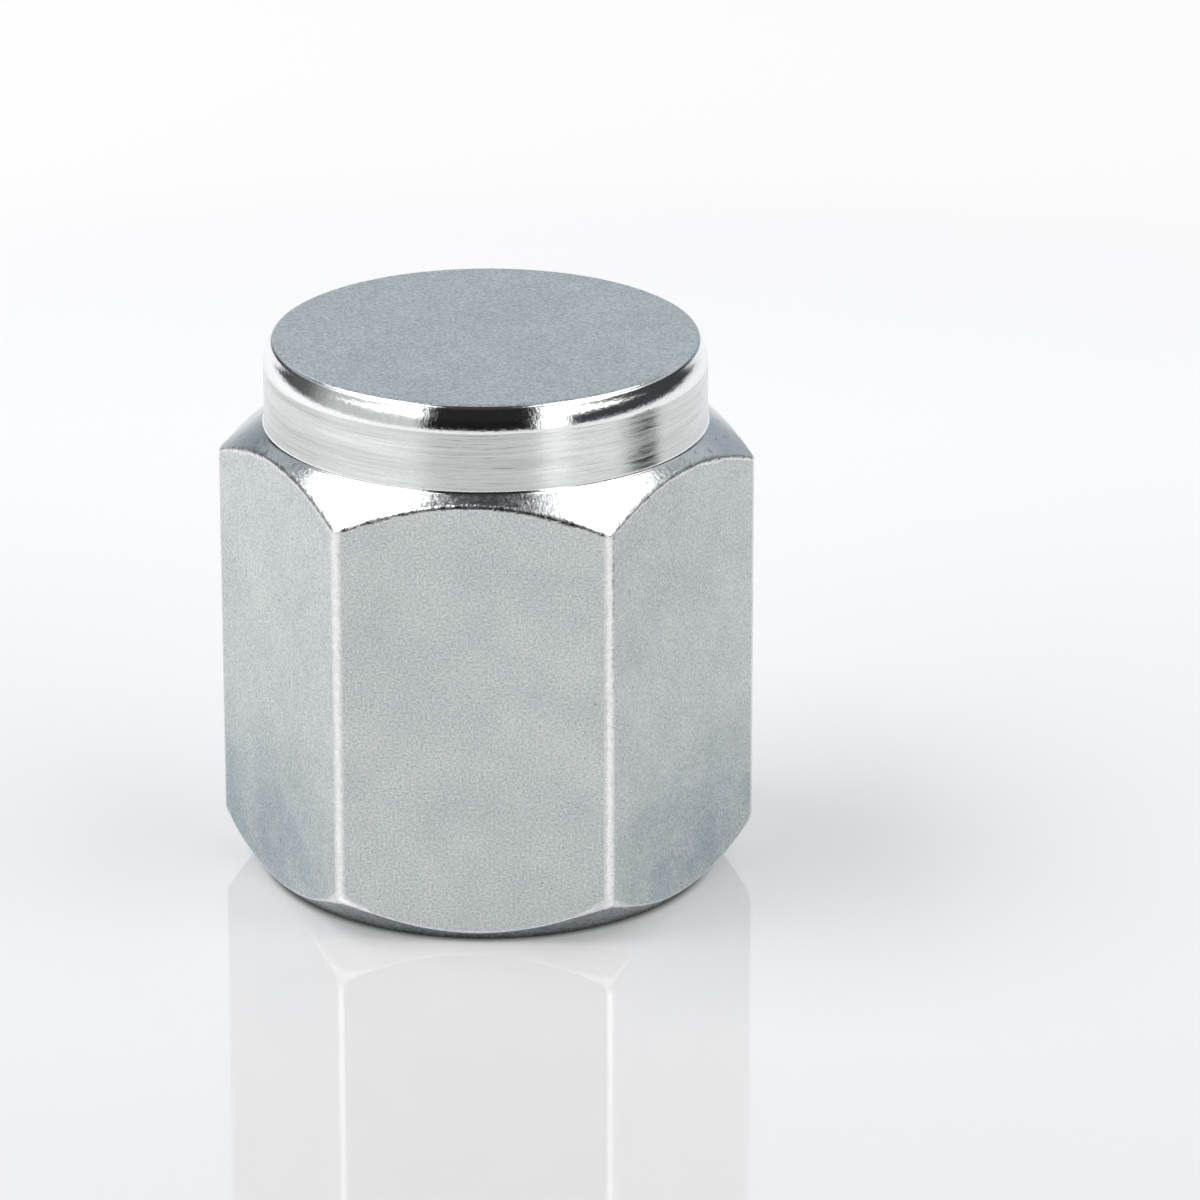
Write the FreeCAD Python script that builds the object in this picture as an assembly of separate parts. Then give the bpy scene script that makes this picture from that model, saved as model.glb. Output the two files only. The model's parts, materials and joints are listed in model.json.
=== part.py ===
import FreeCAD, Part
import math
import os

from FreeCAD import Vector

# Hexagonal tyre valve cap: drawn hexagon bar turned at both ends, bored blind and
# threaded from the open end, with a rubber sealing washer against the blind end.
# Millimetres. The origin is the centre of the open end face, +Z runs to the closed
# end, and one flat of the hexagon faces -Y.

# Overall
OVERALL_HEIGHT = 13.1
ACROSS_FLATS = 11.0
CORNER_RADIUS = 0.28          # rounding that drawing leaves on the bar's six corners

# Chamfered ends of the hexagon, each a cone that cuts an arc on every flat
TOP_CHAMFER_ANGLE = 38.5      # slope of the cone above the horizontal, degrees
BOTTOM_CHAMFER_ANGLE = 42.0
BOTTOM_FACE_STEP = 0.30       # how far the open end face stays inside the flats

# Round boss turned on the closed end
BOSS_HEIGHT = 2.05            # foot of the boss to the flat top
BOSS_STEP = 0.29              # how far the boss wall stays inside the flats
FOOT_RADIUS = 0.12            # tool radius left where the wall meets the cone
RIM_HEIGHT = 0.62             # crowned taper under the flat top, along the axis
RIM_INSET = 0.17              # the same taper, across the axis
RIM_CROWN = 0.024             # how far the taper bulges from a straight cone
EDGE_RADIUS = 0.15            # rounding between the taper and the flat top

# Blind threaded bore, plain here at the thread's crests
THREAD_MINOR_DIAMETER = 7.0
THREAD_HEIGHT = 0.40          # crest to root, across the axis
MOUTH_CLEARANCE = 0.15        # countersink outside the thread's roots
RELIEF_CLEARANCE = 0.12       # run-out groove outside the thread's roots
RELIEF_LENGTH = 0.60          # free run-out between the thread and the washer
CROWN_THICKNESS = 3.1         # metal left between the bore and the flat top

# Sealing washer, snapped past the thread into the run-out groove
WASHER_THICKNESS = 1.2
WASHER_HOLE_DIAMETER = 3.6
WASHER_CLEARANCE = 0.03       # washer's rim to the groove's wall
WASHER_EDGE_RADIUS = 0.10

# Places worked out from the sizes above
FLAT_RADIUS = ACROSS_FLATS / 2.0
SHARP_CORNER_RADIUS = FLAT_RADIUS / math.cos(math.pi / 6.0)
BOSS_RADIUS = FLAT_RADIUS - BOSS_STEP
BOTTOM_FACE_RADIUS = FLAT_RADIUS - BOTTOM_FACE_STEP
FOOT_HEIGHT = OVERALL_HEIGHT - BOSS_HEIGHT
THREAD_MINOR_RADIUS = THREAD_MINOR_DIAMETER / 2.0
THREAD_ROOT_RADIUS = THREAD_MINOR_RADIUS + THREAD_HEIGHT
MOUTH_RADIUS = THREAD_ROOT_RADIUS + MOUTH_CLEARANCE
RELIEF_RADIUS = THREAD_ROOT_RADIUS + RELIEF_CLEARANCE
BORE_DEPTH = OVERALL_HEIGHT - CROWN_THICKNESS
WASHER_BASE = BORE_DEPTH - WASHER_THICKNESS
RELIEF_START = WASHER_BASE - RELIEF_LENGTH
TURNING_RADIUS = SHARP_CORNER_RADIUS + CORNER_RADIUS    # clear of every corner of the bar

AXIS_BASE = Vector(0.0, 0.0, 0.0)
AXIS = Vector(0.0, 0.0, 1.0)


def at(radius, height):
    """A point of a turning profile, in the XZ plane."""
    return Vector(radius, 0.0, height)


def polyline(points):
    """Straight edges through the points in turn."""
    return [Part.makeLine(a, b) for a, b in zip(points, points[1:])]


def arc(start, middle, end):
    return Part.Arc(start, middle, end).toShape()


def turned(edges):
    """The solid that a closed profile sweeps about the axis."""
    face = Part.Face(Part.Wire(edges))
    return face.revolve(AXIS_BASE, AXIS, 360.0)


def circular_edges(shape, radius, height):
    """The full circles of a shape with this radius at this height."""
    found = []
    for edge in shape.Edges:
        curve = edge.Curve
        if not isinstance(curve, Part.Circle):
            continue
        same_radius = abs(curve.Radius - radius) < 1e-6
        same_height = abs(curve.Center.z - height) < 1e-6
        if same_radius and same_height:
            found.append(edge)
    return found


def hexagon_bar():
    """The drawn bar, with flats facing -Y and +Y and rounded corners."""
    corners = []
    for index in range(6):
        angle = math.radians(60.0 * index)
        x = SHARP_CORNER_RADIUS * math.cos(angle)
        y = SHARP_CORNER_RADIUS * math.sin(angle)
        corners.append(Vector(x, y, 0.0))
    outline = Part.Wire(polyline(corners + corners[:1]))
    bar = Part.Face(outline).extrude(AXIS * OVERALL_HEIGHT)
    upright = [edge for edge in bar.Edges if abs(edge.tangentAt(edge.FirstParameter).z) > 0.5]
    return bar.makeFillet(CORNER_RADIUS, upright)


def foot_fillet(slope):
    """The tool radius between the boss wall and the top cone, as three points."""
    open_angle = math.pi / 2.0 + slope
    tangent = FOOT_RADIUS / math.tan(open_angle / 2.0)
    corner = at(BOSS_RADIUS, FOOT_HEIGHT)
    on_wall = at(BOSS_RADIUS, FOOT_HEIGHT + tangent)
    on_cone = corner + at(tangent * math.cos(slope), -tangent * math.sin(slope))
    centre = on_wall + at(FOOT_RADIUS, 0.0)
    inward = (corner - centre).normalize()
    return on_cone, centre + inward * FOOT_RADIUS, on_wall


def crowned_taper():
    """The slightly bulging taper from the boss wall to the flat top, as three points."""
    low = at(BOSS_RADIUS, OVERALL_HEIGHT - RIM_HEIGHT)
    high = at(BOSS_RADIUS - RIM_INSET, OVERALL_HEIGHT)
    outward = at(RIM_HEIGHT, RIM_INSET).normalize()
    return low, (low + high) * 0.5 + outward * RIM_CROWN, high


def turned_outside():
    """Everything the lathe shapes on the outside: both cones, the boss and its rim."""
    top_slope = math.radians(TOP_CHAMFER_ANGLE)
    bottom_slope = math.radians(BOTTOM_CHAMFER_ANGLE)
    bottom_rise = (TURNING_RADIUS - BOTTOM_FACE_RADIUS) * math.tan(bottom_slope)
    top_drop = (TURNING_RADIUS - BOSS_RADIUS) * math.tan(top_slope)
    foot_low, foot_middle, foot_high = foot_fillet(top_slope)
    taper_low, taper_middle, taper_high = crowned_taper()
    below = [
        at(0.0, OVERALL_HEIGHT),
        at(0.0, 0.0),
        at(BOTTOM_FACE_RADIUS, 0.0),
        at(TURNING_RADIUS, bottom_rise),
        at(TURNING_RADIUS, FOOT_HEIGHT - top_drop),
        foot_low,
    ]
    edges = polyline(below)
    edges.append(arc(foot_low, foot_middle, foot_high))
    edges.append(Part.makeLine(foot_high, taper_low))
    edges.append(arc(taper_low, taper_middle, taper_high))
    edges.append(Part.makeLine(taper_high, at(0.0, OVERALL_HEIGHT)))
    solid = turned(edges)
    top_edge = circular_edges(solid, BOSS_RADIUS - RIM_INSET, OVERALL_HEIGHT)
    return solid.makeFillet(EDGE_RADIUS, top_edge)


def blind_bore():
    """The tool path of the bore: countersink, thread crests, run-out groove, flat end."""
    mouth_depth = MOUTH_RADIUS - THREAD_MINOR_RADIUS
    groove_step = RELIEF_RADIUS - THREAD_MINOR_RADIUS
    profile = [
        at(0.0, 0.0),
        at(MOUTH_RADIUS, 0.0),
        at(THREAD_MINOR_RADIUS, mouth_depth),
        at(THREAD_MINOR_RADIUS, RELIEF_START - groove_step),
        at(RELIEF_RADIUS, RELIEF_START),
        at(RELIEF_RADIUS, BORE_DEPTH),
        at(0.0, BORE_DEPTH),
        at(0.0, 0.0),
    ]
    return turned(polyline(profile))


def cap_body():
    """The one metal piece."""
    return hexagon_bar().common(turned_outside()).cut(blind_bore())


def sealing_washer():
    """The flat rubber ring that the valve's mouth presses on."""
    rim_radius = RELIEF_RADIUS - WASHER_CLEARANCE
    hole_radius = WASHER_HOLE_DIAMETER / 2.0
    base = Vector(0.0, 0.0, WASHER_BASE)
    ring = Part.makeCylinder(rim_radius, WASHER_THICKNESS, base, AXIS)
    ring = ring.cut(Part.makeCylinder(hole_radius, WASHER_THICKNESS, base, AXIS))
    rounded = circular_edges(ring, rim_radius, WASHER_BASE)
    rounded += circular_edges(ring, hole_radius, WASHER_BASE)
    return ring.makeFillet(WASHER_EDGE_RADIUS, rounded)


NODES = {
    "cap_body": cap_body,
    "sealing_washer": sealing_washer,
}

os.makedirs("parts", exist_ok=True)
for name, make in NODES.items():
    shape = make()
    solids = shape.Solids
    if len(solids) == 1:
        shape = solids[0]
    shape.exportStep("parts/" + name + ".step")
    print(name, "solids", len(solids), "valid", shape.isValid(), "volume", round(shape.Volume, 3))
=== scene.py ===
import json
import math

import bmesh
import bpy
import numpy as np
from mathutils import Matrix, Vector


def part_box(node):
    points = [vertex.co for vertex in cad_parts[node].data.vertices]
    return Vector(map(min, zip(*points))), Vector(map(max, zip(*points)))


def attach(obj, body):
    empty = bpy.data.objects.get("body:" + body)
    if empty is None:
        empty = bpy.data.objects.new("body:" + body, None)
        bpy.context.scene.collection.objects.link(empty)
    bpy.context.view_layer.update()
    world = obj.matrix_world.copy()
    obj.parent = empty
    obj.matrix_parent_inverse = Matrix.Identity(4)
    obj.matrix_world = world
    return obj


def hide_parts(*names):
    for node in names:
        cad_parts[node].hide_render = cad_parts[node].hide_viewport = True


# Hexagonal tyre valve cap: the metal body with its finishes and thread, the rubber
# washer inside it, and a pale studio round it. Lengths are in millimetres up to the
# point where a mesh or an object is made, and metres from there.

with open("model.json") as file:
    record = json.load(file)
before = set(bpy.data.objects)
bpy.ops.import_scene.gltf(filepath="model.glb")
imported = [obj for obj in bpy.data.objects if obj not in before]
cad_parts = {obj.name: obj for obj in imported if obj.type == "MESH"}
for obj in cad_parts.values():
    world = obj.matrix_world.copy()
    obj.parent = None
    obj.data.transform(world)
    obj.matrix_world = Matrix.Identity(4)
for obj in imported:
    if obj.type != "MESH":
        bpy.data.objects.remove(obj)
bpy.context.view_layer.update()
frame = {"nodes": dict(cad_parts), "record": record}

MM = 0.001
RNG = np.random.default_rng(8)

# Sizes of the metal body, with its height and flats read from the frame
BODY_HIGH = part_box("cap_body")[1]
OVERALL_HEIGHT = BODY_HIGH.z / MM
FLAT_RADIUS = BODY_HIGH.y / MM
CORNER_RADIUS = 0.28
TOP_CHAMFER_ANGLE = math.radians(38.5)
BOTTOM_CHAMFER_ANGLE = math.radians(42.0)
BOTTOM_FACE_STEP = 0.30
BOTTOM_FACE_RADIUS = FLAT_RADIUS - BOTTOM_FACE_STEP
BOSS_STEP = 0.29
BOSS_RADIUS = FLAT_RADIUS - BOSS_STEP
BOSS_HEIGHT = 2.05
FOOT_HEIGHT = OVERALL_HEIGHT - BOSS_HEIGHT
FOOT_RADIUS = 0.12
RIM_HEIGHT = 0.62
RIM_INSET = 0.17
RIM_CROWN = 0.024
RIM_EDGE_RADIUS = 0.15

# Small roundings that wear and plating leave on the sharp edges
TOP_ARC_RADIUS = 0.19
BOTTOM_ARC_RADIUS = 0.07
CORNER_FLARE = 5.5            # how much more the corners' lower ends are rounded
CORNER_FLARE_REACH = 0.42     # and how far along the flats
RAGGED_KNOTS = (150, 330)     # coarse and fine waves of the arcs' roundings, round the cap
RAGGED_SHARES = (0.6, 0.4)
TOP_RAGGED = 0.5
BOTTOM_RAGGED = 0.45
FACE_EDGE_RADIUS = 0.05
MOUTH_EDGE_RADIUS = 0.06

# Blind bore with its thread
THREAD = next(m for m in frame["record"]["mounts"] if m["name"] == "valve_thread")
CREST_RADIUS = THREAD["dims"]["r_mm"]
THREAD_LENGTH = THREAD["dims"]["length_mm"]
THREAD_START = THREAD["pos_m"][2] / MM
THREAD_HEIGHT = 0.40
THREAD_PITCH = 25.4 / 32.0
RELIEF_CLEARANCE = 0.12
RELIEF_RADIUS = CREST_RADIUS + THREAD_HEIGHT + RELIEF_CLEARANCE
MOUTH_RADIUS = CREST_RADIUS + THREAD_START
BORE_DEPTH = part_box("sealing_washer")[1].z / MM
# Form of the thread over one pitch, as shares of the pitch and of the height
THREAD_FORM = [(0.0, 0.0), (0.10, 0.0), (0.42, 1.0), (0.58, 1.0), (0.90, 0.0)]

# How finely the surfaces are divided
FLAT_STEPS = 96
CORNER_STEPS = 8
ARC_STEPS = 5
TAPER_STEPS = 5
HOLD = 0.03                   # distance of the extra edge loops that keep flat faces flat
HOLD_SHARE = 0.3              # and their largest share of a short run
TOP_RINGS = (3.0, 1.0)
BORE_END_RING = 1.0

# Finish zones, in the order of the body's material slots
ZONES = ["flat", "corner", "edge", "cone", "foot", "wall", "rim", "top", "end_face", "bore"]


def smoothstep(low, high, value):
    t = np.clip((value - low) / (high - low), 0.0, 1.0)
    return t * t * (3.0 - 2.0 * t)


def wander(count, knots):
    """A closed random line of that many values between -1 and 1, smooth between its knots."""
    values = RNG.uniform(-1.0, 1.0, knots)
    places = np.arange(count) * knots / count
    before = np.floor(places).astype(int)
    blend = smoothstep(0.0, 1.0, places - before)
    return values[before % knots] * (1.0 - blend) + values[(before + 1) % knots] * blend


# Outline of the drawn bar, seen along its axis
def bar_outline():
    """Points round the rounded hexagon, with True where a point lies on a corner."""
    reach = (FLAT_RADIUS - CORNER_RADIUS) * math.tan(math.pi / 6.0)
    inner = np.linspace(-reach + HOLD, reach - HOLD, FLAT_STEPS - 1)
    across = np.concatenate([[-reach], inner, [reach]])
    centre = (FLAT_RADIUS - CORNER_RADIUS) / math.cos(math.pi / 6.0)
    points = []
    on_corner = []
    for side in range(6):
        facing = math.radians(60.0 * side - 90.0)
        normal = np.array([math.cos(facing), math.sin(facing)])
        along = np.array([-normal[1], normal[0]])
        for t in across:
            points.append(normal * FLAT_RADIUS + along * t)
            on_corner.append(False)
        middle = facing + math.pi / 6.0
        turn = np.linspace(-math.pi / 6.0, math.pi / 6.0, CORNER_STEPS + 1)[1:-1]
        for angle in middle + turn:
            corner = centre * np.array([math.cos(middle), math.sin(middle)])
            points.append(corner + CORNER_RADIUS * np.array([math.cos(angle), math.sin(angle)]))
            on_corner.append(True)
    return np.array(points), np.array(on_corner)


# Turning profile of one column, from the bore's mouth round to the flat top
def rounded(before, corner, after, radius, steps):
    """Points of the arc that rounds a corner between two straight lines."""
    to_before = (before - corner) / np.linalg.norm(before - corner)
    to_after = (after - corner) / np.linalg.norm(after - corner)
    half = 0.5 * math.acos(np.clip(to_before @ to_after, -1.0, 1.0))
    tangent = radius / math.tan(half)
    middle = to_before + to_after
    centre = corner + middle / np.linalg.norm(middle) * radius / math.sin(half)
    start = corner + to_before * tangent - centre
    end = corner + to_after * tangent - centre
    sweep = math.pi - 2.0 * half
    points = []
    for t in np.linspace(0.0, 1.0, steps + 1):
        w0 = math.sin((1.0 - t) * sweep) / math.sin(sweep)
        w1 = math.sin(t * sweep) / math.sin(sweep)
        points.append(centre + start * w0 + end * w1)
    return points


def held(points, zone, profile):
    """Adds a straight run to the profile, with a loop close to each of its ends."""
    start, end = points
    length = np.linalg.norm(end - start)
    share = min(HOLD / length, HOLD_SHARE)
    for t in (share, 1.0 - share):
        profile.append((start + (end - start) * t, zone))


def column(bar_radius, on_corner, top_edge, bottom_edge):
    """One column of the outside as (point, zone of the face that follows it)."""
    side_zone = "corner" if on_corner else "flat"
    edge_zone = "corner" if on_corner else "edge"
    top_z = FOOT_HEIGHT - (bar_radius - BOSS_RADIUS) * math.tan(TOP_CHAMFER_ANGLE)
    bottom_z = (bar_radius - BOTTOM_FACE_RADIUS) * math.tan(BOTTOM_CHAMFER_ANGLE)
    mouth = np.array([MOUTH_RADIUS, 0.0])
    inside = np.array([CREST_RADIUS, THREAD_START])
    face = np.array([BOTTOM_FACE_RADIUS, 0.0])
    low = np.array([bar_radius, bottom_z])
    high = np.array([bar_radius, top_z])
    foot = np.array([BOSS_RADIUS, FOOT_HEIGHT])
    taper_low = np.array([BOSS_RADIUS, OVERALL_HEIGHT - RIM_HEIGHT])
    taper_high = np.array([BOSS_RADIUS - RIM_INSET, OVERALL_HEIGHT])
    bulge = np.array([RIM_HEIGHT, RIM_INSET])
    crown = bulge / np.linalg.norm(bulge) * 4.0 * RIM_CROWN    # times t and 1 - t, it peaks at RIM_CROWN
    centre = np.array([0.0, OVERALL_HEIGHT])

    runs = [
        (rounded(inside, mouth, face, MOUTH_EDGE_RADIUS, ARC_STEPS), "end_face", "end_face"),
        (rounded(mouth, face, low, FACE_EDGE_RADIUS, ARC_STEPS), "foot", "foot"),
        (rounded(face, low, high, bottom_edge, ARC_STEPS), edge_zone, side_zone),
        (rounded(low, high, foot, top_edge, ARC_STEPS), edge_zone, "cone"),
        (rounded(high, foot, taper_low, FOOT_RADIUS, ARC_STEPS), "rim", "wall"),
    ]
    profile = []
    for index, (points, zone, after) in enumerate(runs):
        if index:
            held((profile[-1][0], points[0]), profile[-1][1], profile)
        profile += [(point, zone) for point in points[:-1]]
        profile.append((points[-1], after))

    # Wall up to the taper, the taper's crown, and the rounding into the flat top
    held((profile[-1][0], taper_low), "wall", profile)
    profile.append((taper_low, "rim"))
    before_edge = (taper_high - crown) * 0.5 + taper_low * 0.5
    edge = rounded(before_edge, taper_high, centre, RIM_EDGE_RADIUS, ARC_STEPS)
    for step in range(1, TAPER_STEPS):
        t = step / TAPER_STEPS
        chord = taper_low + (edge[0] - taper_low) * t
        profile.append((chord + crown * t * (1.0 - t), "rim"))
    profile += [(point, "rim") for point in edge[:-3]]
    profile += [(point, "top") for point in edge[-3:]]
    for radius in (edge[-1][0] - HOLD, *TOP_RINGS):
        profile.append((np.array([radius, OVERALL_HEIGHT]), "top"))
    return profile


def ragged_line(count):
    """A closed random line of coarse and fine waves."""
    coarse = wander(count, RAGGED_KNOTS[0])
    fine = wander(count, RAGGED_KNOTS[1])
    return RAGGED_SHARES[0] * coarse + RAGGED_SHARES[1] * fine


def outside():
    """Vertices, faces and zones of everything outside the bore's mouth."""
    outline, on_corner = bar_outline()
    count = len(outline)
    angles = np.arctan2(outline[:, 1], outline[:, 0])
    radii = np.hypot(outline[:, 0], outline[:, 1])
    top_edges = TOP_ARC_RADIUS * (1.0 + TOP_RAGGED * ragged_line(count))
    from_corner = np.abs((np.degrees(angles) + 30.0) % 60.0 - 30.0) * math.pi / 180.0 * radii
    flare = 1.0 + CORNER_FLARE * np.exp(-((from_corner / CORNER_FLARE_REACH) ** 2))
    bottom_edges = BOTTOM_ARC_RADIUS * (1.0 + BOTTOM_RAGGED * ragged_line(count)) * flare
    vertices = []
    zones = []
    rows = 0
    for index in range(count):
        profile = column(radii[index], on_corner[index], top_edges[index], bottom_edges[index])
        rows = len(profile)
        direction = np.array([math.cos(angles[index]), math.sin(angles[index])])
        for point, zone in profile:
            vertices.append((*(direction * point[0]), point[1]))
            zones.append(ZONES.index(zone))
    faces = []
    face_zones = []
    for index in range(count):
        after = (index + 1) % count
        either_corner = on_corner[index] or on_corner[after]
        for row in range(rows - 1):
            a = index * rows + row
            b = after * rows + row
            faces.append((a, b, b + 1, a + 1))
            zone = zones[a]
            if either_corner and zone in (ZONES.index("flat"), ZONES.index("edge")):
                zone = ZONES.index("corner")
            face_zones.append(zone)
    vertices.append((0.0, 0.0, OVERALL_HEIGHT))
    middle = len(vertices) - 1
    for index in range(count):
        after = (index + 1) % count
        faces.append((index * rows + rows - 1, after * rows + rows - 1, middle))
        face_zones.append(ZONES.index("top"))
    mouth_ring = [index * rows for index in range(count)]
    return vertices, faces, face_zones, mouth_ring, angles


# Blind bore: countersink, right-hand thread, run-out groove and flat end
def thread_depth(height):
    """How much of the thread's height is cut at a distance into the bore."""
    end = THREAD_START + THREAD_LENGTH
    return smoothstep(THREAD_START, THREAD_START + THREAD_PITCH, height) * (
        1.0 - smoothstep(end - 0.5 * THREAD_PITCH, end, height)
    )


def bore(vertices, faces, face_zones, mouth_ring, angles):
    """Adds the inside of the bore, in columns that start at the mouth's own points."""
    turns = int(math.ceil(THREAD_LENGTH / THREAD_PITCH)) + 2
    end = THREAD_START + THREAD_LENGTH
    relief_start = end + RELIEF_RADIUS - CREST_RADIUS
    zone = ZONES.index("bore")
    columns = []
    for place, angle in enumerate(angles):
        lead = (angle % (2.0 * math.pi)) / (2.0 * math.pi)
        points = [(CREST_RADIUS, THREAD_START)]
        for turn in range(-1, turns):
            for along, depth in THREAD_FORM:
                height = THREAD_START + (turn + along + lead) * THREAD_PITCH
                inside = min(max(height, THREAD_START), end)
                points.append((CREST_RADIUS + THREAD_HEIGHT * depth * thread_depth(inside), inside))
        points += [
            (CREST_RADIUS, end),
            (RELIEF_RADIUS, relief_start),
            (RELIEF_RADIUS, BORE_DEPTH),
            (BORE_END_RING, BORE_DEPTH),
        ]
        start = len(vertices)
        for radius, height in points:
            vertices.append((radius * math.cos(angle), radius * math.sin(angle), height))
        columns.append([mouth_ring[place]] + list(range(start, start + len(points))))
    vertices.append((0.0, 0.0, BORE_DEPTH))
    middle = len(vertices) - 1
    # Where the columns close the circle, the thread's rows join those one turn farther in
    per_turn = len(THREAD_FORM)
    head = 2    # rows before the thread
    tail = 4    # rows after it
    for place, here in enumerate(columns):
        there = columns[(place + 1) % len(columns)]
        wraps = angles[(place + 1) % len(columns)] % (2.0 * math.pi) < angles[place] % (2.0 * math.pi)
        shift = per_turn if wraps else 0
        last = len(here) - 1
        for row in range(last):
            other = row + shift if head <= row <= last - tail else row
            next_other = row + 1 + shift if head <= row + 1 <= last - tail else row + 1
            other = min(other, last - tail) if row <= last - tail else other
            next_other = min(next_other, last - tail) if row + 1 <= last - tail else next_other
            corners = [here[row], here[row + 1], there[next_other], there[other]]
            faces.append(tuple(dict.fromkeys(corners)))
            face_zones.append(zone)
        faces.append((here[last], middle, there[last]))
        face_zones.append(zone)


def body_mesh():
    """The metal body as one closed mesh in metres, its faces numbered by zone for the body's material slots.
    """
    vertices, faces, face_zones, mouth_ring, angles = outside()
    bore(vertices, faces, face_zones, mouth_ring, angles)
    mesh = bpy.data.meshes.new("cap_body_finished")
    mesh.from_pydata([Vector(v) * MM for v in vertices], [], faces)
    mesh.polygons.foreach_set("material_index", face_zones)
    work = bmesh.new()
    work.from_mesh(mesh)
    bmesh.ops.remove_doubles(work, verts=work.verts, dist=1e-8)
    bmesh.ops.dissolve_degenerate(work, edges=work.edges, dist=1e-8)
    bmesh.ops.recalc_face_normals(work, faces=work.faces)
    for face in work.faces:
        face.smooth = True
    work.to_mesh(mesh)
    work.free()
    return mesh


# Node graphs
class Graph:
    """A short way to write a node tree."""

    def __init__(self, tree):
        self.tree = tree
        tree.nodes.clear()

    def node(self, kind, inputs=None, **settings):
        made = self.tree.nodes.new(kind)
        for name, value in settings.items():
            setattr(made, name, value)
        for name, value in (inputs or {}).items():
            self.put(made.inputs[name], value)
        return made

    def put(self, socket, value):
        if isinstance(value, bpy.types.NodeSocket):
            self.tree.links.new(value, socket)
        else:
            socket.default_value = value

    def math(self, operation, first, second=0.0, third=0.0):
        made = self.node("ShaderNodeMath", operation=operation)
        for socket, value in zip(made.inputs, (first, second, third)):
            self.put(socket, value)
        return made.outputs[0]

    def spread(self, value, low, high, to_low, to_high):
        made = self.node("ShaderNodeMapRange", interpolation_type="SMOOTHSTEP")
        for name, number in zip(("Value", "From Min", "From Max", "To Min", "To Max"),
                                (value, low, high, to_low, to_high)):
            self.put(made.inputs[name], number)
        return made.outputs[0]

    def noise(self, vector, scale, detail=2.0, rough=0.5):
        made = self.node("ShaderNodeTexNoise", {"Vector": vector, "Scale": scale, "Detail": detail,
                                                "Roughness": rough})
        return made.outputs["Fac"]

    def mix(self, factor, first, second, blend="MIX"):
        made = self.node("ShaderNodeMix", data_type="RGBA", blend_type=blend)
        self.put(made.inputs[0], factor)
        self.put(made.inputs[6], first)
        self.put(made.inputs[7], second)
        return made.outputs[2]

    def ramp(self, factor, stops):
        made = self.node("ShaderNodeValToRGB", {"Fac": factor})
        elements = made.color_ramp.elements
        while len(elements) < len(stops):
            elements.new(0.5)
        for element, (place, colour) in zip(elements, stops):
            element.position = place
            element.color = (*colour, 1.0)
        return made.outputs["Color"]


def millimetres(graph, stretch=(1.0, 1.0, 1.0)):
    """The object's own coordinates in millimetres, stretched along its axes."""
    place = graph.node("ShaderNodeTexCoord").outputs["Object"]
    scale = tuple(value / MM for value in stretch)
    return graph.node("ShaderNodeVectorMath", {0: place, 1: scale}, operation="MULTIPLY").outputs[0]


# Values that the finishes share
QUARTER_TURN = 0.25           # stretches the highlights along the axis
PIT_COLOUR = (0.10, 0.11, 0.12)
# Painted shade: a bluish darkening of the flats low on the sides, in soft patches
SIDE_SHADE_TINT = (0.69, 0.76, 0.81)
TINT_LOW = 1.2                # heights over which the painted shade fades
TINT_HIGH = 5.2
TINT_INNER = 2.6              # and distances to the side
TINT_OUTER = 4.6


def painted_side_shade(graph, colour):
    """Painted shade low on the sides: a bluish darkening in soft patches, standing in for the shaded floor
    that the side flats mirror.
    """
    place = millimetres(graph)
    parts = graph.node("ShaderNodeSeparateXYZ", {0: place})
    low = graph.spread(parts.outputs["Z"], TINT_LOW, TINT_HIGH, 1.0, 0.0)
    aside = graph.spread(graph.math("ABSOLUTE", parts.outputs["X"]), TINT_INNER, TINT_OUTER, 0.0, 1.0)
    patches = graph.spread(graph.noise(place, 0.9, 4.0, 0.6), 0.30, 0.65, 0.35, 1.0)
    amount = graph.math("MULTIPLY", graph.math("MULTIPLY", low, aside), patches)
    return graph.mix(amount, colour, (*SIDE_SHADE_TINT, 1.0), "MULTIPLY")


def pitted(graph, colour, scale, start, full, depth):
    """Sparse dark pits in a colour, where a noise rises over its start."""
    spots = graph.spread(graph.noise(millimetres(graph), scale, 1.0), start, full, 0.0, depth)
    return graph.mix(spots, colour, (*PIT_COLOUR, 1.0))


def metal(name, dark, light, speckle, roughness, bump, anisotropy=0.0, side_shaded=False, pits=None):
    """A metal whose colour, roughness and relief follow one speckle value from 0 to 1."""
    material = bpy.data.materials.new(name)
    material.use_nodes = True
    graph = Graph(material.node_tree)
    grain = speckle(graph)
    colour = graph.mix(grain, (*dark, 1.0), (*light, 1.0))
    # painted shade low on the sides, for the flats
    if side_shaded:
        colour = painted_side_shade(graph, colour)
    if pits:
        colour = pitted(graph, colour, *pits)
    rough = graph.spread(grain, 0.0, 1.0, roughness[0], roughness[1])
    relief = graph.node("ShaderNodeBump", {"Height": grain, "Strength": bump[0], "Distance": bump[1] * MM})
    shader = graph.node("ShaderNodeBsdfPrincipled", {
        "Base Color": colour, "Roughness": rough, "Normal": relief.outputs[0]})
    shader.inputs["Metallic"].default_value = 1.0
    shader.inputs["Anisotropic"].default_value = anisotropy
    shader.inputs["Anisotropic Rotation"].default_value = QUARTER_TURN
    graph.node("ShaderNodeOutputMaterial", {"Surface": shader.outputs[0]})
    return material


def grainy(scale, blotch=0.0):
    """Even fine grain, with wide faint blotches in it."""
    def speckle(graph):
        fine = graph.noise(millimetres(graph), scale, 4.0, 0.65)
        if not blotch:
            return graph.spread(fine, 0.25, 0.75, 0.0, 1.0)
        wide = graph.noise(millimetres(graph), 0.8, 3.0, 0.55)
        both = graph.math("MULTIPLY_ADD", wide, blotch, graph.math("MULTIPLY", fine, 1.0 - blotch))
        return graph.spread(both, 0.28, 0.72, 0.0, 1.0)
    return speckle


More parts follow.
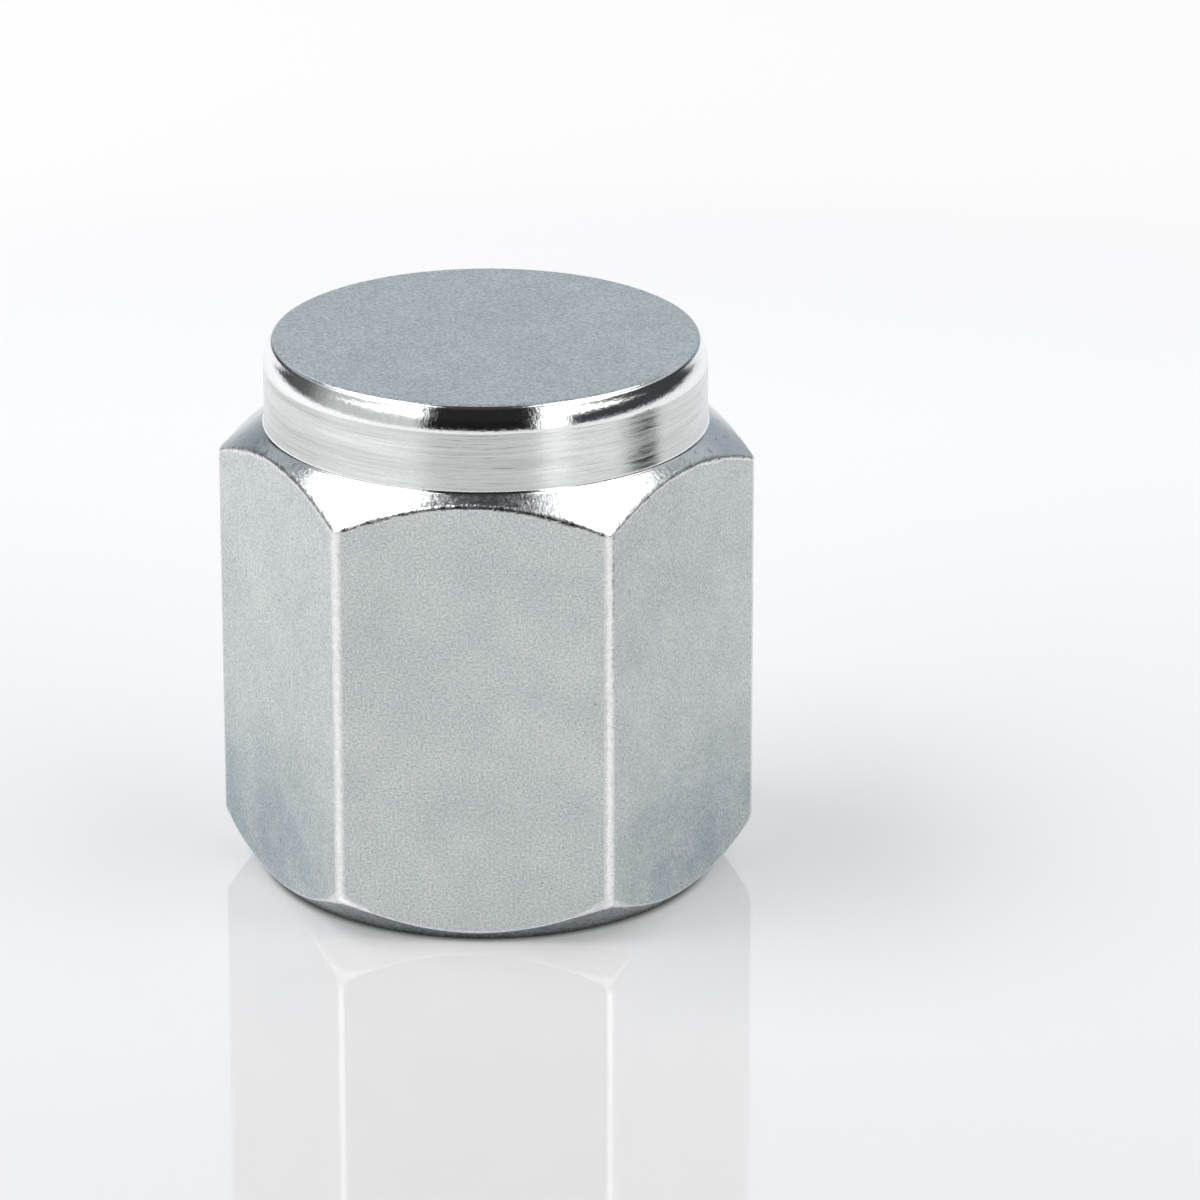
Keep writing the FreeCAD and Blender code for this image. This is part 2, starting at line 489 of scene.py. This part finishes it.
def circling(along, across):
    """Fine lines that run round the axis, as a lathe leaves them."""
    def speckle(graph):
        lines = graph.noise(millimetres(graph, (along, along, across)), 1.0, 3.0, 0.6)
        return graph.spread(lines, 0.25, 0.75, 0.0, 1.0)
    return speckle


def lathe_marks():
    """Fine and broad streaks round the axis together."""
    def speckle(graph):
        fine = graph.noise(millimetres(graph, (0.40, 0.40, 15.0)), 1.0, 3.0, 0.6)
        broad = graph.noise(millimetres(graph, (0.20, 0.20, 2.6)), 1.0, 2.0, 0.5)
        both = graph.math("MULTIPLY_ADD", broad, 0.4, graph.math("MULTIPLY", fine, 0.6))
        return graph.spread(both, 0.32, 0.68, 0.0, 1.0)
    return speckle


def rubber():
    """Matte black with a fine grain."""
    material = bpy.data.materials.new("washer_rubber_finish")
    material.use_nodes = True
    graph = Graph(material.node_tree)
    grain = graph.noise(millimetres(graph), 6.0, 4.0, 0.6)
    colour = graph.mix(grain, (0.018, 0.018, 0.019, 1.0), (0.042, 0.041, 0.040, 1.0))
    rough = graph.spread(grain, 0.3, 0.7, 0.62, 0.82)
    relief = graph.node("ShaderNodeBump", {"Height": grain, "Strength": 0.3, "Distance": 0.02 * MM})
    shader = graph.node("ShaderNodeBsdfPrincipled", {
        "Base Color": colour, "Roughness": rough, "Normal": relief.outputs[0]})
    graph.node("ShaderNodeOutputMaterial", {"Surface": shader.outputs[0]})
    return material


# Each finish: dark and light colour, speckle, roughness, and the relief's strength and depth
FINISHES = {
    # The drawn flats carry painted shade low on the sides, besides their grain and pits
    "flat": metal("drawn_flat", (0.475, 0.52, 0.525), (0.95, 0.985, 0.965), grainy(18.0, 0.15), (0.34, 0.48),
                  (0.40, 0.008), side_shaded=True, pits=(8.0, 0.70, 0.78, 0.35)),
    "corner": metal("worn_corner", (0.74, 0.75, 0.75), (0.95, 0.96, 0.96), grainy(6.0), (0.18, 0.36),
                    (0.50, 0.016)),
    "edge": metal("worn_edge", (0.70, 0.72, 0.73), (0.93, 0.94, 0.94), grainy(9.0), (0.06, 0.16),
                  (0.50, 0.014)),
    "cone": metal("turned_cone", (0.74, 0.78, 0.80), (0.90, 0.92, 0.93), grainy(9.0, 0.2), (0.14, 0.26),
                  (0.30, 0.008), pits=(4.5, 0.64, 0.76, 0.45)),
    # The lower chamfer's dark colour is painted shade from the floor close under it; its grain, pits and
    # roughness are the turned finish
    "foot": metal("turned_foot", (0.19, 0.22, 0.23), (0.53, 0.57, 0.57), grainy(7.0, 0.2), (0.20, 0.36),
                  (0.45, 0.012), pits=(4.5, 0.62, 0.74, 0.45)),
    "wall": metal("turned_wall", (0.60, 0.62, 0.61), (0.86, 0.88, 0.87), lathe_marks(), (0.14, 0.32),
                  (0.55, 0.012), 0.75),
    "rim": metal("polished_rim", (0.84, 0.86, 0.86), (0.92, 0.94, 0.94), grainy(10.0), (0.05, 0.10),
                 (0.25, 0.006)),
    "top": metal("faced_top", (0.46, 0.50, 0.52), (0.93, 0.97, 0.98), grainy(16.0, 0.12), (0.34, 0.46),
                 (0.40, 0.008)),
    "end_face": metal("faced_end", (0.66, 0.69, 0.70), (0.82, 0.85, 0.86), circling(6.0, 6.0), (0.28, 0.40),
                      (0.2, 0.006)),
    "bore": metal("cut_thread", (0.56, 0.58, 0.58), (0.74, 0.76, 0.76), circling(2.0, 10.0), (0.24, 0.38),
                  (0.2, 0.006)),
}


def make_body():
    piece = bpy.data.objects.new("cap_body_finished", body_mesh())
    bpy.context.scene.collection.objects.link(piece)
    for zone in ZONES:
        piece.data.materials.append(FINISHES[zone])
    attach(piece, "root")
    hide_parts("cap_body")


def finish_washer():
    washer = frame["nodes"]["sealing_washer"]
    washer.data.materials.clear()
    washer.data.materials.append(rubber())


# Studio: floor, surroundings, lamps and camera
FLOOR_DROP = 0.005            # below the open end face, so that the two never share a plane
FLOOR_REACH = 900.0
CONTACT_SHADOW_COLOUR = (0.10, 0.10, 0.105)     # painted contact shadow: the floor dark under and just round the cap
FLOOR_COLOUR = (0.60, 0.59, 0.60)    # floor in the open, under a glow that only the eye sees
NEAR_GLOW = 0.22
FAR_GLOW = 0.41
OPEN_FROM = 5.1               # distances from the axis where the painted contact shadow gives way to the open floor
OPEN_FULL = 5.5
FLOOR_GLOSS = 0.65
FLOOR_ROUGHNESS = 0.06
FLOOR_IOR = 1.75
GLOSS_FULL = 22.0             # the floor mirrors the cap, and dulls farther off
GLOSS_END = 55.0
FLOOR_NEAR = -30.0            # where the floor is darkest, in front of the cap
FLOOR_FADE = 105.0
CARD_SIDES = (21.0, 62.0)     # black card on the floor to the right, that only the metal shows
CARD_ENDS = (-9.0, 2.0)
CARD_LIFT = 0.05
CARD_DARK = (0.010, 0.010, 0.011)
CARD_LIGHT = (0.022, 0.022, 0.023)
CARD_ROUGHNESS = 0.9
SOFT_BOXES = [
    ("soft_box_left", (-198.0, -15.0, 300.0), (180.0, 310.0), 5.2),
    ("soft_box_right", (183.0, -15.0, 300.0), (190.0, 310.0), 2.2),
]
CAMERA_AZIMUTH = math.radians(3.5)
CAMERA_ELEVATION = math.radians(22.86)
CAMERA_DISTANCE = 32.0 * FLAT_RADIUS
CAMERA_LENS = 219.8
SENSOR_WIDTH = 36.0
CLIP_NEAR = 1.0
CLIP_FAR = 5000.0
AIM_RIGHT = 2.715             # the frame's centre from the cap's base, across the view
AIM_UP = 6.03

# Surroundings by azimuth from the camera, right positive: low over the floor, then higher up
LOW_SURROUNDINGS = [
    (-180, (0.40, 0.45, 0.49)),
    (-160, (0.40, 0.45, 0.49)),
    (-140, (0.05, 0.05, 0.055)),
    (-104, (0.12, 0.12, 0.12)),
    (-84, (0.55, 0.57, 0.56)),
    (-34, (0.66, 0.67, 0.65)),
    (-31, (0.012, 0.012, 0.012)),
    (26, (0.012, 0.012, 0.012)),
    (29, (2.2, 2.2, 2.15)),
    (40, (2.2, 2.2, 2.15)),
    (43, (0.05, 0.052, 0.055)),
    (125, (0.05, 0.052, 0.055)),
    (150, (0.36, 0.40, 0.44)),
    (180, (0.40, 0.45, 0.49)),
]
MIDDLE_SURROUNDINGS = [
    (-180, (0.78, 0.84, 0.87)),
    (-135, (0.36, 0.39, 0.41)),
    (-104, (0.40, 0.42, 0.42)),
    (-84, (1.8, 1.8, 1.78)),
    (-35, (2.0, 2.0, 1.98)),
    (-31, (0.02, 0.02, 0.02)),
    (28, (0.02, 0.02, 0.02)),
    (32, (2.2, 2.2, 2.18)),
    (82, (2.1, 2.1, 2.08)),
    (98, (0.55, 0.57, 0.58)),
    (135, (0.46, 0.50, 0.52)),
    (180, (0.78, 0.84, 0.87)),
]
CEILING = (0.05, 0.052, 0.055)
MIDDLE_FROM = 0.30            # sines of the elevations where one level gives way to the next
MIDDLE_FULL = 0.34
CEILING_FROM = 0.50
CEILING_FULL = 0.75
BRIGHTEST = 2.2


def floor_material():
    """Pale gloss that lightens with distance, as a studio sweep does, with a painted contact shadow under
    and just round the cap.
    """
    material = bpy.data.materials.new("pale_floor")
    material.use_nodes = True
    graph = Graph(material.node_tree)
    place = millimetres(graph)
    from_cap = graph.node("ShaderNodeVectorMath", {0: place}, operation="LENGTH").outputs["Value"]
    from_front = graph.node("ShaderNodeVectorMath", {0: place, 1: (0.0, FLOOR_NEAR, 0.0)},
                            operation="DISTANCE").outputs["Value"]
    # Under and just round the cap the floor takes the painted contact shadow colour, and its glow is held
    # off there
    clear = graph.spread(from_cap, OPEN_FROM, OPEN_FULL, 0.0, 1.0)
    glow = graph.spread(from_front, 0.0, FLOOR_FADE, NEAR_GLOW, FAR_GLOW)
    colour = graph.mix(clear, (*CONTACT_SHADOW_COLOUR, 1.0), (*FLOOR_COLOUR, 1.0))
    rays = graph.node("ShaderNodeLightPath")
    looks = graph.math("ADD", rays.outputs["Is Camera Ray"], rays.outputs["Is Glossy Ray"])
    looks = graph.math("ADD", looks, rays.outputs["Is Transmission Ray"])
    shown = graph.math("MULTIPLY", clear, graph.math("MINIMUM", looks, 1.0))
    shader = graph.node("ShaderNodeBsdfPrincipled", {
        "Base Color": colour, "Emission Strength": graph.math("MULTIPLY", glow, shown),
        "Specular IOR Level": graph.spread(from_cap, GLOSS_FULL, GLOSS_END, FLOOR_GLOSS, 0.0)})
    shader.inputs["Emission Color"].default_value = (1.0, 1.0, 1.0, 1.0)
    shader.inputs["Roughness"].default_value = FLOOR_ROUGHNESS
    shader.inputs["IOR"].default_value = FLOOR_IOR
    graph.node("ShaderNodeOutputMaterial", {"Surface": shader.outputs[0]})
    return material


def along_view(x, y, z):
    """A place in metres, from millimetres to the right, away from the camera and up."""
    c = math.cos(CAMERA_AZIMUTH)
    s = math.sin(CAMERA_AZIMUTH)
    return Vector((x * c - y * s, x * s + y * c, z)) * MM


def make_floor():
    reach = FLOOR_REACH * MM
    drop = -FLOOR_DROP * MM
    corners = [(-reach, -reach, drop), (reach, -reach, drop), (reach, reach, drop), (-reach, reach, drop)]
    mesh = bpy.data.meshes.new("floor")
    mesh.from_pydata(corners, [], [(0, 1, 2, 3)])
    mesh.materials.append(floor_material())
    floor = bpy.data.objects.new("floor", mesh)
    bpy.context.scene.collection.objects.link(floor)


def make_card():
    """A black card flat on the floor beside the cap, that darkens one side of the boss.

    It is clear from below, so that the glossy floor under it doesn't show it.
    """
    turns = ((0, 0), (1, 0), (1, 1), (0, 1))
    corners = [along_view(CARD_SIDES[side], CARD_ENDS[end], CARD_LIFT) for side, end in turns]
    mesh = bpy.data.meshes.new("dark_card")
    mesh.from_pydata(corners, [], [(0, 1, 2, 3)])
    material = bpy.data.materials.new("black_card")
    material.use_nodes = True
    graph = Graph(material.node_tree)
    weave = graph.noise(millimetres(graph), 1.0)
    colour = graph.mix(weave, (*CARD_DARK, 1.0), (*CARD_LIGHT, 1.0))
    shader = graph.node("ShaderNodeBsdfPrincipled", {"Base Color": colour})
    shader.inputs["Roughness"].default_value = CARD_ROUGHNESS
    clear = graph.node("ShaderNodeBsdfTransparent")
    underside = graph.node("ShaderNodeNewGeometry").outputs["Backfacing"]
    either = graph.node("ShaderNodeMixShader", {0: underside, 1: shader.outputs[0], 2: clear.outputs[0]})
    graph.node("ShaderNodeOutputMaterial", {"Surface": either.outputs[0]})
    mesh.materials.append(material)
    card = bpy.data.objects.new("dark_card", mesh)
    card.visible_camera = False
    card.visible_diffuse = False
    card.visible_shadow = False
    bpy.context.scene.collection.objects.link(card)


def all_round(graph, share, level):
    """The colours of one level of the surroundings, by azimuth."""
    stops = [(degrees / 360.0 + 0.5, [part / BRIGHTEST for part in colour]) for degrees, colour in level]
    scaled = {0: graph.ramp(share, stops), 1: (BRIGHTEST, BRIGHTEST, BRIGHTEST)}
    return graph.node("ShaderNodeVectorMath", scaled, operation="MULTIPLY").outputs[0]


def make_surroundings():
    """A dark room behind the camera, with pale sides and a pale back, for the metal to mirror."""
    world = bpy.data.worlds.new("studio")
    bpy.context.scene.world = world
    world.use_nodes = True
    graph = Graph(world.node_tree)
    way = graph.node("ShaderNodeTexCoord").outputs["Generated"]
    turned = graph.node("ShaderNodeVectorRotate", {"Vector": way, "Angle": -CAMERA_AZIMUTH},
                        rotation_type="Z_AXIS").outputs[0]
    parts = graph.node("ShaderNodeSeparateXYZ", {0: turned})
    toward = graph.math("MULTIPLY", parts.outputs["Y"], -1.0)
    azimuth = graph.math("ARCTAN2", parts.outputs["X"], toward)
    share = graph.math("MULTIPLY_ADD", azimuth, 0.5 / math.pi, 0.5)
    low = all_round(graph, share, LOW_SURROUNDINGS)
    middle = all_round(graph, share, MIDDLE_SURROUNDINGS)
    height = parts.outputs["Z"]
    sides = graph.mix(graph.spread(height, MIDDLE_FROM, MIDDLE_FULL, 0.0, 1.0), low, middle)
    room = graph.mix(graph.spread(height, CEILING_FROM, CEILING_FULL, 0.0, 1.0), sides, (*CEILING, 1.0))
    background = graph.node("ShaderNodeBackground", {"Color": room})
    graph.node("ShaderNodeOutputWorld", {"Surface": background.outputs[0]})


def soft_box(name, centre, size, radiance):
    """A rectangular lamp that faces down, placed in the camera's azimuth."""
    data = bpy.data.lights.new(name, "AREA")
    data.shape = "RECTANGLE"
    data.size = size[0] * MM
    data.size_y = size[1] * MM
    data.energy = radiance * math.pi * data.size * data.size_y
    lamp = bpy.data.objects.new(name, data)
    bpy.context.scene.collection.objects.link(lamp)
    lamp.location = along_view(*centre)
    lamp.rotation_euler = (0.0, 0.0, CAMERA_AZIMUTH)


def make_lamps():
    for name, centre, size, radiance in SOFT_BOXES:
        soft_box(name, centre, size, radiance)


def make_camera():
    data = bpy.data.cameras.new("camera")
    data.lens = CAMERA_LENS
    data.sensor_width = SENSOR_WIDTH
    data.clip_start = CLIP_NEAR * MM
    data.clip_end = CLIP_FAR * MM
    camera = bpy.data.objects.new("camera", data)
    bpy.context.scene.collection.objects.link(camera)
    level = math.cos(CAMERA_ELEVATION)
    c = math.cos(CAMERA_AZIMUTH)
    s = math.sin(CAMERA_AZIMUTH)
    back = Vector((s * level, -c * level, math.sin(CAMERA_ELEVATION)))
    right = Vector((c, s, 0.0))
    up = back.cross(right)
    camera.location = back * CAMERA_DISTANCE * MM
    aim = (right * AIM_RIGHT + up * AIM_UP) * MM
    camera.rotation_mode = "QUATERNION"
    camera.rotation_quaternion = (aim - camera.location).to_track_quat("-Z", "Y")
    bpy.context.scene.camera = camera


make_body()
finish_washer()
make_floor()
make_card()
make_surroundings()
make_lamps()
make_camera()
bpy.context.scene.view_settings.view_transform = "Standard"
